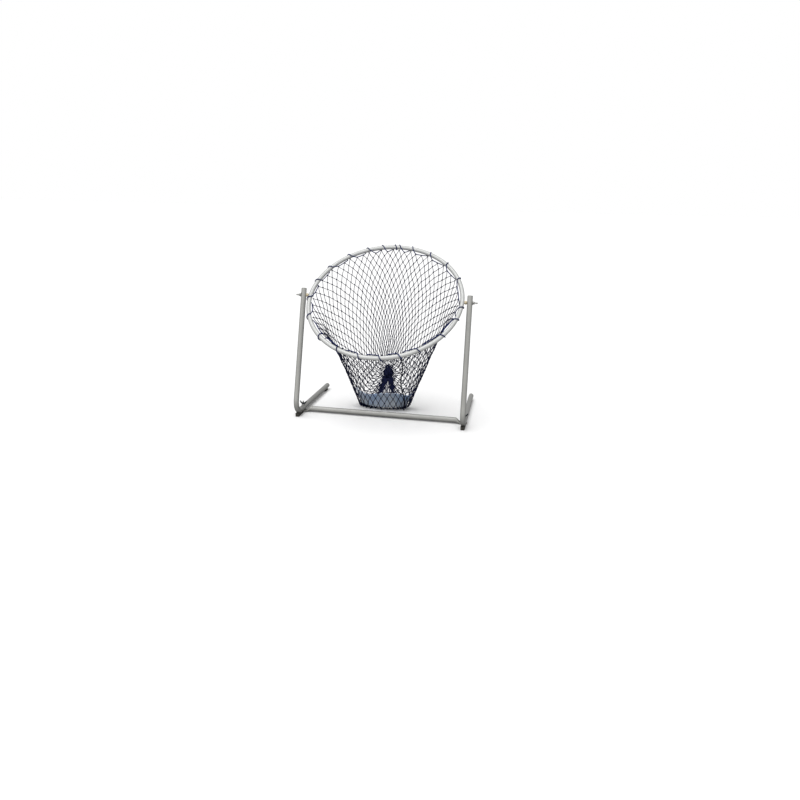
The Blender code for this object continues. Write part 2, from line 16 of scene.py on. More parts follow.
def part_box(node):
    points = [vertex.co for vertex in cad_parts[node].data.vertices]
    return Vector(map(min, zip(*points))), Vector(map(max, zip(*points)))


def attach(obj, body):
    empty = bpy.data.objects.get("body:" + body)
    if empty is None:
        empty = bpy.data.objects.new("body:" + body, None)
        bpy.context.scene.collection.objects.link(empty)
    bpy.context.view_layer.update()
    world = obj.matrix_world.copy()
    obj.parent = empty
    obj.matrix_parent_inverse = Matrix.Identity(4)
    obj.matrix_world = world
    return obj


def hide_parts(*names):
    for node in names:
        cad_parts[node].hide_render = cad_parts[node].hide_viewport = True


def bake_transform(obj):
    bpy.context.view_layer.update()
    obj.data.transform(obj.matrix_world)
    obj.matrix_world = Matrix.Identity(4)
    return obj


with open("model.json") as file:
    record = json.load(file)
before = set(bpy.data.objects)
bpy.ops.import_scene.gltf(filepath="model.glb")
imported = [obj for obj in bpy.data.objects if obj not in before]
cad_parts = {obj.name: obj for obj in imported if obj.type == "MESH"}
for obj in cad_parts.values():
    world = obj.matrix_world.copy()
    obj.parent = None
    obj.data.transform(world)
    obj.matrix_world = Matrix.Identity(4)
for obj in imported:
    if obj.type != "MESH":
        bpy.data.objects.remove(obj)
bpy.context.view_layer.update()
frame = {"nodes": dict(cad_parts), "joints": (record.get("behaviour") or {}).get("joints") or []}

JOINTS = {joint["name"]: joint for joint in frame["joints"]}
RIGHT, BACK, UP = Vector((1, 0, 0)), Vector((0, 1, 0)), Vector((0, 0, 1))

# Stand
TUBE_R = 0.010
LEAN = radians(13.3)
BEND_R = 0.045
PIVOT = Vector(JOINTS["hoop_tilt"]["pos_m"])
LEG_X = JOINTS["right_base_nut_turn"]["pos_m"][0]
BAR_Y = JOINTS["right_base_nut_turn"]["pos_m"][1]
FOOT_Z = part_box("right_leg")[0].z + TUBE_R
FOOT_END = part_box("right_leg")[1].y
CORNER_Y = PIVOT.y - (PIVOT.z - FOOT_Z) * tan(LEAN)
ABOVE_PIVOT = 0.024
BAR_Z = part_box("crossbar")[0].z + TUBE_R
BAR_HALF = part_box("crossbar")[1].x
TONGUE = 0.003
TONGUE_WIDEN = 1.3
PRESS_START, PRESS_END = LEG_X - 0.034, LEG_X - 0.0125
PLUG_LIP = 0.003

# Bolts and nuts
BOLT_R = 0.003
HEAD_R = 0.0065
THREAD_PITCH = 0.001
WASHER_R, WASHER = 0.008, 0.0012
NUT_R, NUT_TOP_R, NUT_HEIGHT = 0.0055, 0.0045, 0.0075
WING_THICK = 0.0022
WING = ((0.0042, 0.0012), (0.0075, 0.0020), (0.0102, 0.0045), (0.0126, 0.0082), (0.0137, 0.0112),
        (0.0136, 0.0133), (0.0122, 0.0141), (0.0104, 0.0134), (0.0082, 0.0106), (0.0062, 0.0078),
        (0.0042, 0.0068))
WING_ROUNDING = 0.0006
GAP = 0.0003

# Hoop
HOOP_TUBE_R = 0.008
HOOP_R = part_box("hoop_right_segment")[1].x - HOOP_TUBE_R
HOOP_TILT = radians(52)
HOOP_UP = Vector((0, sin(HOOP_TILT), cos(HOOP_TILT)))
HOOP_OUT = RIGHT.cross(HOOP_UP)
SEAM = 0.0004

# Lacing
WRAP_ANGLES = (25, 44, 62, 78, 88.5, 92, 102, 114, 130, 149, 165.5, 184.5, 203, 226, 245, 262, 277, 290.5,
               304, 325, 343, 355)  # degrees round the hoop from +X, over the back and the front
LACE_R = 0.0018
LACE_OFF = 0.0004
LACE_LIFT = 0.001  # off the hoop's plane where it passes an edge mesh
WRAP_FROM = radians(135)
WRAP_HALF_ARC = radians(2.0)
CLEAR_OF_WRAP = radians(2.2)

# Net
COLUMNS = 60  # meshes round the rim
ROWS = 24  # half meshes from the rim to the gathered neck
BAR = 0.0255  # twine between two knots
SIDE_SPREAD = 0.17  # how much wider the meshes open at the sides
TWINE_R = 0.0012
KNOT_R = 0.0031
EDGE_NEAR = 0.2765  # radius of the net's edge beside a wrap
EDGE_DIP, BACK_DIP = 0.0025, 0.0140  # how far it sags between wraps, and how much more at the back
FULL_DIP = radians(11)  # the gap between wraps from which it sags fully
RIM_R = 0.262  # radius of the wall at the rim, once the netting has left the lacing
KNOT_STRAY = 0.0013
BAR_SAG = 0.05  # of a bar's length
LEAST_STEP = 0.4  # of a bar, between rows where the meshes are pulled wide open
BASE = Vector((-0.020, CORNER_Y + 0.245, 0.002))
BASE_RX, BASE_RY = 0.100, 0.060
BACK_RISE = 0.165
FOOT_RISE = 0.100
BELLY_SHAPE = 3.0
TIE = Vector((-0.016, CORNER_Y + 0.302, 0.125))
NECK_R, NECK_LENGTH = 0.012, 0.012
TIE_R, TIE_TURNS, TIE_PITCH = 0.0016, 4, 0.0032
TIE_OFF = 0.0019  # from the neck's surface to the middle of the cord
NECK_AXIS = Vector((0, cos(radians(35)), -sin(radians(35))))
TAIL_LENGTH, TAIL_R = 0.055, 0.0125
TAIL_LOOPS, BUNCH_LOOPS = 54, 46
TAIL_TWINE_R = 0.0014
BUNCH_R = 0.021  # of the knotted twine in the mouth of the neck
NECK_FRONT = 0.6  # how much closer the columns stand at the front of the neck
FRONT_SPREAD = ((0, 0), (26, 72), (98, 122), (180, 180))  # rim and base angles off the front, in degrees
SPREAD_WINDOW, SPREAD_SPACING = 9, 1.6  # samples to either side that smooth it, and degrees between them

# Seam cord
SEAM_TOP, SEAM_FOOT = radians(287), radians(325)
STRAND_R = 0.0017
STRAND_OFF = 0.0015  # from the cord's middle to a strand's
SEAM_TURNS = 26
SEAM_OFF = 0.0042  # off the wall
SEAM_LOWEST = 0.0024
SEAM_WANDER = 0.05

# Cloth in the foot
CLOTH_FIRST, CLOTH_LAST, CLOTH_COLUMNS = radians(175), radians(365), 72
CLOTH_HEIGHTS = (0.074, 0.062, 0.050, 0.040, 0.031, 0.022, 0.014, 0.008)  # of its rows up the wall
CLOTH_INWARD = (0.10, 0.17, 0.24, 0.32, 0.40)  # of its rows along the belly
CLOTH_OFF = 0.009
CLOTH_THICK = 0.0006
FOLD, FOLD_HEIGHT = 0.0022, 0.066
EDGE_WAVE, BELLY_WAVE = 0.003, 0.0006
WEAVE_PITCH = 0.008  # of the cloth's map between rows

# Studio
AMBIENT = 0.55
FLOOR_BOUNCE = 0.35


# ---------------------------------------------------------------- camera, light and floor

def make_camera():
    yaw, pitch, roll = 0.1891, 0.1959, 0.0225
    eye = Vector((0.496, -2.5598, 0.8162))
    ahead = Vector((-sin(yaw) * cos(pitch), cos(yaw) * cos(pitch), -sin(pitch)))
    level = Vector((cos(yaw), sin(yaw), 0))
    above = level.cross(ahead)
    side = cos(roll) * level + sin(roll) * above
    top = cos(roll) * above - sin(roll) * level
    data = bpy.data.cameras.new("camera")
    data.lens = 30.904
    data.sensor_width = 36
    data.shift_x, data.shift_y = 0.015, -0.07625
    camera = bpy.data.objects.new("camera", data)
    bpy.context.scene.collection.objects.link(camera)
    turn = Matrix((side, top, -ahead)).transposed()
    camera.matrix_world = Matrix.Translation(eye) @ turn.to_4x4()
    bpy.context.scene.camera = camera


def make_light(name, kind, place, size, power):
    data = bpy.data.lights.new(name, kind)
    if kind == "SUN":
        data.angle = size
    else:
        data.shape = "DISK"
        data.size = size
    data.energy = power
    light = bpy.data.objects.new(name, data)
    bpy.context.scene.collection.objects.link(light)
    aim = Vector((0, 0, 0.25)) - Vector(place)
    light.matrix_world = Matrix.Translation(place) @ aim.to_track_quat("-Z", "Y").to_matrix().to_4x4()


def make_studio():
    """Soft overhead light on a pale floor that throws little of it back up."""
    world = bpy.data.worlds.new("studio")
    world.use_nodes = True
    nodes, links = world.node_tree.nodes, world.node_tree.links
    sky = nodes["Background"]
    sky.inputs["Color"].default_value = (1, 1, 1, 1)
    strength = nodes.new("ShaderNodeMapRange")
    strength.inputs["To Min"].default_value = AMBIENT
    strength.inputs["To Max"].default_value = 1.0
    links.new(nodes.new("ShaderNodeLightPath").outputs["Is Camera Ray"], strength.inputs["Value"])
    links.new(strength.outputs["Result"], sky.inputs["Strength"])
    bpy.context.scene.world = world
    bpy.context.scene.view_settings.view_transform = "Standard"
    make_light("overhead_light", "SUN", (-0.5, -0.6, 3.0), radians(50), 2.0)
    make_light("front_light", "AREA", (-1.2, -2.4, 1.9), 1.2, 8)
    bm = bmesh.new()
    bmesh.ops.create_grid(bm, x_segments=1, y_segments=1, size=80)
    mesh = bpy.data.meshes.new("floor")
    bm.to_mesh(mesh)
    bm.free()
    floor = bpy.data.objects.new("floor", mesh)
    bpy.context.scene.collection.objects.link(floor)
    mat = surface("pale_floor", (0.955, 0.955, 0.955), (0.965, 0.965, 0.965), 1.0, 3, 0.0, 0)
    nodes, links = mat.node_tree.nodes, mat.node_tree.links
    bounce = nodes.new("ShaderNodeMapRange")
    bounce.inputs["To Min"].default_value = FLOOR_BOUNCE
    bounce.inputs["To Max"].default_value = 1.0
    links.new(nodes.new("ShaderNodeLightPath").outputs["Is Camera Ray"], bounce.inputs["Value"])
    dimmed = nodes.new("ShaderNodeVectorMath")
    dimmed.operation = "SCALE"
    links.new(nodes["Color Ramp"].outputs["Color"], dimmed.inputs[0])
    links.new(bounce.outputs["Result"], dimmed.inputs["Scale"])
    links.new(dimmed.outputs["Vector"], nodes["Principled BSDF"].inputs["Base Color"])
    mesh.materials.append(mat)


# ---------------------------------------------------------------- finishes

def surface(name, dark, light, roughness, grain, bump, bump_scale, metallic=0.0, sheen=0.0, coat=0.0,
            worn=0.10, edge=1.0):
    """A finish that drifts between two colours, with a fine relief; grain and bump_scale are per metre.

    edge is how much darker the colour is painted where the surface turns away from the view: painted shade on
    a tube's sides, not part of the finish.
    """
    mat = bpy.data.materials.new(name)
    mat.use_nodes = True
    nodes, links = mat.node_tree.nodes, mat.node_tree.links
    shader = nodes["Principled BSDF"]
    shader.inputs["Metallic"].default_value = metallic
    shader.inputs["Sheen Weight"].default_value = sheen
    shader.inputs["Coat Weight"].default_value = coat
    place = nodes.new("ShaderNodeTexCoord")
    drift = nodes.new("ShaderNodeTexNoise")
    drift.inputs["Scale"].default_value = grain
    drift.inputs["Detail"].default_value = 4
    links.new(place.outputs["Object"], drift.inputs["Vector"])
    ramp = nodes.new("ShaderNodeValToRGB")
    ramp.color_ramp.elements[0].position = 0.3
    ramp.color_ramp.elements[0].color = (*dark, 1)
    ramp.color_ramp.elements[1].position = 0.7
    ramp.color_ramp.elements[1].color = (*light, 1)
    links.new(drift.outputs["Fac"], ramp.inputs["Fac"])
    links.new(ramp.outputs["Color"], shader.inputs["Base Color"])
    # painted shade: the Layer Weight facing scales the base colour down towards the sides the view grazes
    if edge < 1:
        facing = nodes.new("ShaderNodeLayerWeight")
        facing.inputs["Blend"].default_value = 0.35
        shade = nodes.new("ShaderNodeMapRange")
        shade.inputs["From Min"].default_value = 0.05
        shade.inputs["From Max"].default_value = 0.55
        shade.inputs["To Min"].default_value = 1
        shade.inputs["To Max"].default_value = edge
        links.new(facing.outputs["Facing"], shade.inputs["Value"])
        darker = nodes.new("ShaderNodeVectorMath")
        darker.operation = "SCALE"
        links.new(ramp.outputs["Color"], darker.inputs[0])
        links.new(shade.outputs["Result"], darker.inputs["Scale"])
        links.new(darker.outputs["Vector"], shader.inputs["Base Color"])
    spread = nodes.new("ShaderNodeMapRange")
    spread.inputs["To Min"].default_value = max(0.05, roughness - worn)
    spread.inputs["To Max"].default_value = min(1.0, roughness + worn)
    links.new(drift.outputs["Fac"], spread.inputs["Value"])
    links.new(spread.outputs["Result"], shader.inputs["Roughness"])
    if bump:
        relief = nodes.new("ShaderNodeTexNoise")
        relief.inputs["Scale"].default_value = bump_scale
        relief.inputs["Detail"].default_value = 2
        links.new(place.outputs["Object"], relief.inputs["Vector"])
        raised = nodes.new("ShaderNodeBump")
        raised.inputs["Strength"].default_value = bump
        raised.inputs["Distance"].default_value = 0.0003
        links.new(relief.outputs["Fac"], raised.inputs["Height"])
        links.new(raised.outputs["Normal"], shader.inputs["Normal"])
    return mat


def laid_cord(name, dark, light, strands_per_metre):
    """Twisted nylon: slanting strands that catch the light along the cord."""
    mat = surface(name, dark, light, 0.7, 160, 0, 0)
    nodes, links = mat.node_tree.nodes, mat.node_tree.links
    shader = nodes["Principled BSDF"]
    shader.inputs["Specular IOR Level"].default_value = 0.15
    place = next(node for node in nodes if node.type == "TEX_COORD")
    lay = nodes.new("ShaderNodeTexWave")
    lay.bands_direction = "DIAGONAL"
    lay.inputs["Scale"].default_value = strands_per_metre
    lay.inputs["Distortion"].default_value = 1.5
    links.new(place.outputs["Object"], lay.inputs["Vector"])
    raised = nodes.new("ShaderNodeBump")
    raised.inputs["Strength"].default_value = 0.6
    raised.inputs["Distance"].default_value = 0.0003
    links.new(lay.outputs["Fac"], raised.inputs["Height"])
    links.new(raised.outputs["Normal"], shader.inputs["Normal"])
    return mat


def woven_cloth(name, dark, light, threads_per_metre):
    """A plain weave from two crossing waves over the cloth's own map."""
    mat = surface(name, dark, light, 0.8, 16, 0, 0, sheen=0.15)
    nodes, links = mat.node_tree.nodes, mat.node_tree.links
    shader = nodes["Principled BSDF"]
    cloth_map = nodes.new("ShaderNodeUVMap")
    cloth_map.uv_map = "cloth"
    weave = nodes.new("ShaderNodeMath")
    weave.operation = "MULTIPLY"
    for slot, direction in enumerate(("X", "Y")):
        thread = nodes.new("ShaderNodeTexWave")
        thread.bands_direction = direction
        thread.inputs["Scale"].default_value = threads_per_metre
        links.new(cloth_map.outputs["UV"], thread.inputs["Vector"])
        links.new(thread.outputs["Fac"], weave.inputs[slot])
    raised = nodes.new("ShaderNodeBump")
    raised.inputs["Strength"].default_value = 0.5
    raised.inputs["Distance"].default_value = 0.0004
    links.new(weave.outputs["Value"], raised.inputs["Height"])
    links.new(raised.outputs["Normal"], shader.inputs["Normal"])
    return mat


def make_finishes():
    return {
        # the two coatings are powder coat plus painted shade: edge darkens their colour towards the sides the
        # view grazes
        "grey_coating": surface("grey_powder_coat_and_painted_shade", (0.46, 0.46, 0.435), (0.53, 0.53, 0.505), 0.36, 18,
                                0.35, 1400, coat=0.3, edge=0.45),
        "pale_coating": surface("pale_powder_coat_and_painted_shade", (0.66, 0.67, 0.655), (0.73, 0.74, 0.73), 0.34, 18,
                                0.35, 1400, coat=0.3, edge=0.55),
        "zinc": surface("bright_zinc", (0.42, 0.42, 0.41), (0.60, 0.60, 0.58), 0.33, 350, 0.25, 900,
                        metallic=1.0),
        "black_steel": surface("blackened_steel", (0.016, 0.020, 0.026), (0.05, 0.055, 0.065), 0.45, 300, 0.3,
                               900, metallic=0.6),
        "black_rubber": surface("black_rubber", (0.035, 0.033, 0.028), (0.08, 0.075, 0.065), 0.8, 120, 0.5,
                                700),
        "grey_plastic": surface("moulded_grey", (0.36, 0.36, 0.34), (0.43, 0.43, 0.41), 0.5, 60, 0.3, 900),
        "cream_plastic": surface("moulded_cream", (0.60, 0.50, 0.32), (0.72, 0.63, 0.44), 0.42, 80, 0.2, 700,
                                 coat=0.2),
        "navy_twine": laid_cord("navy_net_twine", (0.002, 0.004, 0.022), (0.010, 0.015, 0.065), 260),
        "navy_lacing": laid_cord("navy_lacing_cord", (0.003, 0.007, 0.045), (0.018, 0.035, 0.17), 200),
        "black_cord": laid_cord("black_binding_cord", (0.002, 0.003, 0.010), (0.008, 0.011, 0.035), 200),
        "elastic_cord": laid_cord("elastic_sleeve", (0.02, 0.02, 0.024), (0.05, 0.05, 0.055), 500),
        "pale_blue_cloth": woven_cloth("pale_blue_cloth", (0.46, 0.63, 0.92), (0.88, 0.93, 0.99), 260),
    }


# ---------------------------------------------------------------- making pieces

def piece(name, bm, slot, body, *nodes, smooth=40):
    """Turns a bmesh into a finished piece that rides on a body and stands for its CAD nodes."""
    mesh = bpy.data.meshes.new(name)
    bm.to_mesh(mesh)
    bm.free()
    return piece_of(name, mesh, slot, body, *nodes, smooth=smooth)


def piece_of(name, mesh, slot, body, *nodes, smooth=40):
    """The same from a mesh; without a body, the piece rides on none."""
    mesh.materials.clear()
    mesh.materials.append(FINISHES[slot])
    mesh.shade_smooth()
    mesh.set_sharp_from_angle(angle=radians(smooth))
    obj = bpy.data.objects.new(name, mesh)
    bpy.context.scene.collection.objects.link(obj)
    if nodes:
        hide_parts(*nodes)
    if body:
        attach(obj, body)
    return obj


def ring_at(bm, point, direction, radius, sides=40):
    """A ring of edges square to a direction, to be drawn out into a tube."""
    turn = Vector(direction).to_track_quat("Z", "Y").to_matrix().to_4x4()
    made = bmesh.ops.create_circle(bm, segments=sides, radius=radius, matrix=Matrix.Translation(point) @ turn)
    return list({edge for vert in made["verts"] for edge in vert.link_edges})


def drawn_out(bm, edges, step):
    """Extrudes a ring straight; gives the new ring."""
    grown = bmesh.ops.extrude_edge_only(bm, edges=edges)["geom"]
    verts = [item for item in grown if isinstance(item, bmesh.types.BMVert)]
    bmesh.ops.translate(bm, vec=step, verts=verts)
    new = set(verts)
    return [e for e in grown if isinstance(e, bmesh.types.BMEdge) and new.issuperset(e.verts)]


def swung(bm, edges, centre, axis, angle, steps):
    """Extrudes a ring round an arc; gives the last ring."""
    geom = edges + list({vert for edge in edges for vert in edge.verts})
    last = bmesh.ops.spin(bm, geom=geom, cent=centre, axis=axis, angle=angle, steps=steps)["geom_last"]
    return [item for item in last if isinstance(item, bmesh.types.BMEdge)]


def closed_up(bm):
    """Fills open ends and turns every face outwards."""
    bmesh.ops.remove_doubles(bm, verts=bm.verts, dist=0.00001)
    open_edges = [edge for edge in bm.edges if edge.is_boundary]
    if open_edges:
        bmesh.ops.holes_fill(bm, edges=open_edges, sides=0)
    bmesh.ops.recalc_face_normals(bm, faces=bm.faces)


def turned(outline, point, direction, sides=40, ring=False):
    """A turned solid from (radius, height) points, stood at a point along a direction."""
    bm = bmesh.new()
    verts = [bm.verts.new((radius, 0, height)) for radius, height in outline]
    edges = [bm.edges.new(pair) for pair in zip(verts, verts[1:])]
    if ring:
        edges.append(bm.edges.new((verts[-1], verts[0])))
    bmesh.ops.spin(bm, geom=verts + edges, axis=UP, cent=(0, 0, 0), angle=tau, steps=sides, use_merge=True)
    closed_up(bm)
    turn = Vector(direction).to_track_quat("Z", "X").to_matrix().to_4x4()
    bmesh.ops.transform(bm, matrix=Matrix.Translation(point) @ turn, verts=bm.verts)
    return bm


def smooth_line(points, closed=False, steps=4):
    """Points on a smooth curve through the given ones."""
    count = len(points)
    line = []
    for i in range(count if closed else count - 1):
        if closed:
            a, b, c, d = (points[(i + k) % count] for k in (-1, 0, 1, 2))
        else:
            a, b, c, d = (points[min(max(i + k, 0), count - 1)] for k in (-1, 0, 1, 2))
        for step in range(steps):
            t = step / steps
            line.append(0.5 * (2 * b + (c - a) * t + (2 * a - 5 * b + 4 * c - d) * t * t
                               + (3 * b - a - 3 * c + d) * t * t * t))
    if not closed:
        line.append(points[-1].copy())
    return line


def cord_mesh(name, lines, radius, sides=8, closed=False):
    """Round cords along lines of points, as one mesh."""
    curve = bpy.data.curves.new(name, "CURVE")
    curve.dimensions = "3D"
    curve.bevel_depth = radius
    curve.bevel_resolution = (sides - 4) // 2
    curve.use_fill_caps = not closed
    for line in lines:
        spline = curve.splines.new("POLY")
        spline.points.add(len(line) - 1)
        for spot, point in zip(spline.points, line):
            spot.co = (*point, 1)
        spline.use_cyclic_u = closed
    obj = bpy.data.objects.new(name, curve)
    mesh = bpy.data.meshes.new_from_object(obj)
    bpy.data.objects.remove(obj)
    bpy.data.curves.remove(curve)
    bm = bmesh.new()
    bm.from_mesh(mesh)
    bmesh.ops.remove_doubles(bm, verts=bm.verts, dist=0.000001)
    bmesh.ops.recalc_face_normals(bm, faces=bm.faces)
    bm.to_mesh(mesh)
    bm.free()
    return mesh


# ---------------------------------------------------------------- stand

def make_leg(side, word):
    x = side * LEG_X
    turn = pi / 2 + LEAN
    reach = BEND_R * tan(turn / 2)
    upright = Vector((0, sin(LEAN), cos(LEAN)))
    bm = bmesh.new()
    ring = ring_at(bm, (x, FOOT_END, FOOT_Z), -BACK, TUBE_R)
    ring = drawn_out(bm, ring, (0, CORNER_Y + reach - FOOT_END, 0))
    ring = swung(bm, ring, (x, CORNER_Y + reach, FOOT_Z + BEND_R), RIGHT, -turn, 28)
    length = (PIVOT.z - FOOT_Z) / cos(LEAN) + ABOVE_PIVOT - reach
    drawn_out(bm, ring, length * upright)
    closed_up(bm)
    piece(f"{word}_leg_tube", bm, "grey_coating", "stand", f"{word}_leg")
    top = Vector((x, CORNER_Y, FOOT_Z)) + (length + reach) * upright
    dome = [(0, 0), (TUBE_R, 0), (TUBE_R, PLUG_LIP * 0.35), (TUBE_R * 0.96, PLUG_LIP * 0.6)]
    dome += [(TUBE_R * 0.82, PLUG_LIP * 0.85), (TUBE_R * 0.5, PLUG_LIP * 0.98), (0, PLUG_LIP)]
    foot_end = Vector((x, FOOT_END + GAP, FOOT_Z))
    piece(f"{word}_foot_end_cap", turned(dome, foot_end, BACK), "grey_plastic", "stand", f"{word}_foot_plug")
    piece(f"{word}_top_cap", turned(dome, top + GAP * upright, upright), "grey_plastic", "stand",
          f"{word}_top_plug")


def make_crossbar():
    """A round tube whose ends are pressed down flat, with rounded corners."""
    sides = 40
    corner = 0.006
    stations = [-BAR_HALF, -BAR_HALF + 0.0006, -BAR_HALF + 0.002, -BAR_HALF + 0.004, -BAR_HALF + corner]
    steps = 14
    stations += [-PRESS_END - (PRESS_START - PRESS_END) * i / steps for i in range(steps + 1)]
    stations += [-x for x in reversed(stations)]
    bm = bmesh.new()
    ring = ring_at(bm, (stations[0], BAR_Y, BAR_Z), RIGHT, TUBE_R, sides)
    for here, following in zip(stations, stations[1:]):
        ring = drawn_out(bm, ring, (following - here, 0, 0))
    closed_up(bm)
    for vert in bm.verts:
        x = abs(vert.co.x)
        along = min(max((x - PRESS_START) / (PRESS_END - PRESS_START), 0), 1)
        press = along * along * (3 - 2 * along)
        z = vert.co.z - BAR_Z
        flat = min(max(z, -TONGUE / 2), TONGUE / 2)
        vert.co.z += press * (flat - z - TUBE_R + TONGUE / 2)
        into = min(max(0, x - (BAR_HALF - corner)), corner)
        rounding = TUBE_R * TONGUE_WIDEN - (corner - (corner**2 - into**2) ** 0.5)
        vert.co.y = BAR_Y + (vert.co.y - BAR_Y) * (1 + press * (rounding / TUBE_R - 1))
    piece("crossbar_tube", bm, "grey_coating", "stand", "crossbar")


def bolt_outline(head, length, thread_from):
    outline = [(0, -head), (HEAD_R * 0.45, -head * 0.95), (HEAD_R * 0.8, -head * 0.68)]
    outline += [(HEAD_R, -head * 0.25), (HEAD_R, 0), (BOLT_R, 0)]
    turns = int((length - 0.001 - thread_from) / THREAD_PITCH)
    for i in range(turns):
        at = thread_from + i * THREAD_PITCH
        outline += [(BOLT_R, at), (BOLT_R, at + THREAD_PITCH * 0.15)]
        outline.append((BOLT_R * 0.84, at + THREAD_PITCH * 0.6))
    return outline + [(BOLT_R * 0.9, length - 0.0006), (BOLT_R * 0.72, length), (0, length)]


def washer_outline():
    inner = BOLT_R + GAP
    edge = 0.0003
    return [(inner, 0), (WASHER_R - edge, 0), (WASHER_R, edge), (WASHER_R, WASHER - edge),
            (WASHER_R - edge, WASHER), (inner, WASHER)]


def make_wing_nut(name, point, direction, slot, body, node, wing_angle=0.0):
    """A turned nut with two upswept, rounded wings."""
    inner = BOLT_R + GAP
    outline = [(inner, 0), (NUT_R, 0), (NUT_R, NUT_HEIGHT * 0.22), (NUT_R * 0.96, NUT_HEIGHT * 0.3),
               (NUT_TOP_R, NUT_HEIGHT * 0.92), (NUT_TOP_R * 0.94, NUT_HEIGHT), (inner, NUT_HEIGHT)]
    bm = turned(outline, (0, 0, 0), UP, 32, ring=True)
    beyond_root, close = 0.0041, 1e-6
    for side in (-1, 1):
        half = WING_THICK / 2
        outline_face = bm.faces.new([bm.verts.new((side * x, -half, z)) for x, z in WING])
        grown = bmesh.ops.extrude_face_region(bm, geom=[outline_face])["geom"]
        lifted = [item for item in grown if isinstance(item, bmesh.types.BMVert)]
        bmesh.ops.translate(bm, vec=(0, WING_THICK, 0), verts=lifted)
        rims = [e for e in bm.edges
                if all(abs(abs(v.co.y) - half) < close and v.co.x * side > beyond_root for v in e.verts)
                and abs(e.verts[0].co.y - e.verts[1].co.y) < close and len(e.link_faces) == 2
                and any(len(f.verts) > 6 for f in e.link_faces)]
        bmesh.ops.bevel(bm, geom=rims, offset=WING_ROUNDING, segments=3, profile=0.5, affect="EDGES",
                        material=-1)
    bmesh.ops.recalc_face_normals(bm, faces=bm.faces)
    turn = Vector(direction).to_track_quat("Z", "X").to_matrix().to_4x4()
    level = Matrix.Rotation(wing_angle, 4, "Z")
    bmesh.ops.transform(bm, matrix=Matrix.Translation(point) @ turn @ level, verts=bm.verts)
    piece(name, bm, slot, body, node)


def make_base_fixing(side, word):
    x = side * LEG_X
    bolt_low, bolt_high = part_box(f"{word}_base_bolt")
    washer_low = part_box(f"{word}_base_washer")[0]
    nut_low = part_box(f"{word}_base_wing_nut")[0]
    head = 0.002
    under = Vector((x, BAR_Y, bolt_low.z + head))
    length = bolt_high.z - under.z
    thread_from = nut_low.z - under.z
    outline = bolt_outline(head, length, thread_from)
    piece(f"{word}_base_screw", turned(outline, under, UP, 24), "zinc", "stand", f"{word}_base_bolt")
    piece(f"{word}_base_flat_washer", turned(washer_outline(), (x, BAR_Y, washer_low.z), UP, ring=True),
          "zinc", "stand", f"{word}_base_washer")
    make_wing_nut(f"{word}_base_wing", (x, BAR_Y, nut_low.z), UP, "black_steel", f"{word}_base_nut",
                  f"{word}_base_wing_nut")


def outer_face(node, side):
    """How far out along X a node starts and ends."""
    low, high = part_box(node)
    near, far = sorted((low.x * side, high.x * side))
    return near, far


def make_pivot_fixing(side, word):
    out = side * RIGHT
    head = 0.003
    bolt_near, bolt_far = outer_face(f"{word}_pivot_bolt", side)
    spacer_near, spacer_far = outer_face(f"{word}_pivot_spacer", side)
    washer_near = outer_face(f"{word}_pivot_washer", side)[0]
    nut_near = outer_face(f"{word}_pivot_wing_nut", side)[0]
    start = bolt_near + head
    place = PIVOT + start * out
    outline = bolt_outline(head, bolt_far - start, nut_near - start)
    piece(f"{word}_pivot_screw", turned(outline, place, out, 24), "zinc", "hoop", f"{word}_pivot_bolt")
    inner = BOLT_R + GAP
    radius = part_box(f"{word}_pivot_spacer")[1].z - PIVOT.z
    half = (spacer_far - spacer_near) / 2
    bead = [(inner, -half)]
    steps, bulge = 10, radians(50)
    for i in range(steps + 1):
        a = bulge * (2 * i / steps - 1)
        bead.append((radius * (0.72 + 0.28 * (cos(a) - cos(bulge)) / (1 - cos(bulge))),
                     half * sin(a) / sin(bulge)))
    bead.append((inner, half))
    piece(f"{word}_pivot_bead", turned(bead, PIVOT + (spacer_near + half) * out, out, ring=True),
          "cream_plastic", "hoop", f"{word}_pivot_spacer")
    piece(f"{word}_pivot_flat_washer", turned(washer_outline(), PIVOT + washer_near * out, out, ring=True),
          "zinc", "stand", f"{word}_pivot_washer")
    make_wing_nut(f"{word}_pivot_wing", PIVOT + nut_near * out, out, "zinc", f"{word}_pivot_nut",
                  f"{word}_pivot_wing_nut", wing_angle=pi / 2)


# ---------------------------------------------------------------- hoop and lacing

def hoop_point(angle, radius=HOOP_R, out=0.0):
    """A point at an angle round the hoop, from +X up over the back; out is off its plane."""
    return PIVOT + radius * (cos(angle) * RIGHT + sin(angle) * HOOP_UP) + out * HOOP_OUT


def make_hoop():
    half_seam = SEAM / 2 / HOOP_R
    for index, word in enumerate(("top", "left", "bottom", "right")):
        start = radians(45 + 90 * index) + half_seam
        bm = bmesh.new()
        along = cos(start) * HOOP_UP - sin(start) * RIGHT
        ring = ring_at(bm, hoop_point(start), along, HOOP_TUBE_R, 32)
        swung(bm, ring, PIVOT, HOOP_OUT, pi / 2 - 2 * half_seam, 40)
        closed_up(bm)
        piece(f"hoop_{word}_tube", bm, "pale_coating", "hoop", f"hoop_{word}_segment")


def edge_radius(angle):
    """How far from the hoop's middle the lacing holds the net's edge: near the tube beside a wrap."""
    turns = [radians(a) for a in WRAP_ANGLES]
    angle = turns[0] + (angle - turns[0]) % tau
    for here, following in zip(turns, [*turns[1:], turns[0] + tau]):
        if here <= angle <= following:
            share = (angle - here) / (following - here)
            deep = min(1, (following - here) / FULL_DIP)
            dip = EDGE_DIP + BACK_DIP * max(0, sin(angle)) ** 2
            return EDGE_NEAR - dip * deep * (1 - abs(2 * share - 1))
    return EDGE_NEAR


def column_angle(half):
    """Where a half column starts round the rim: wider apart at the sides."""
    even = tau * (half + 1) / (2 * COLUMNS)
    return even + SIDE_SPREAD / 2 * sin(2 * even)


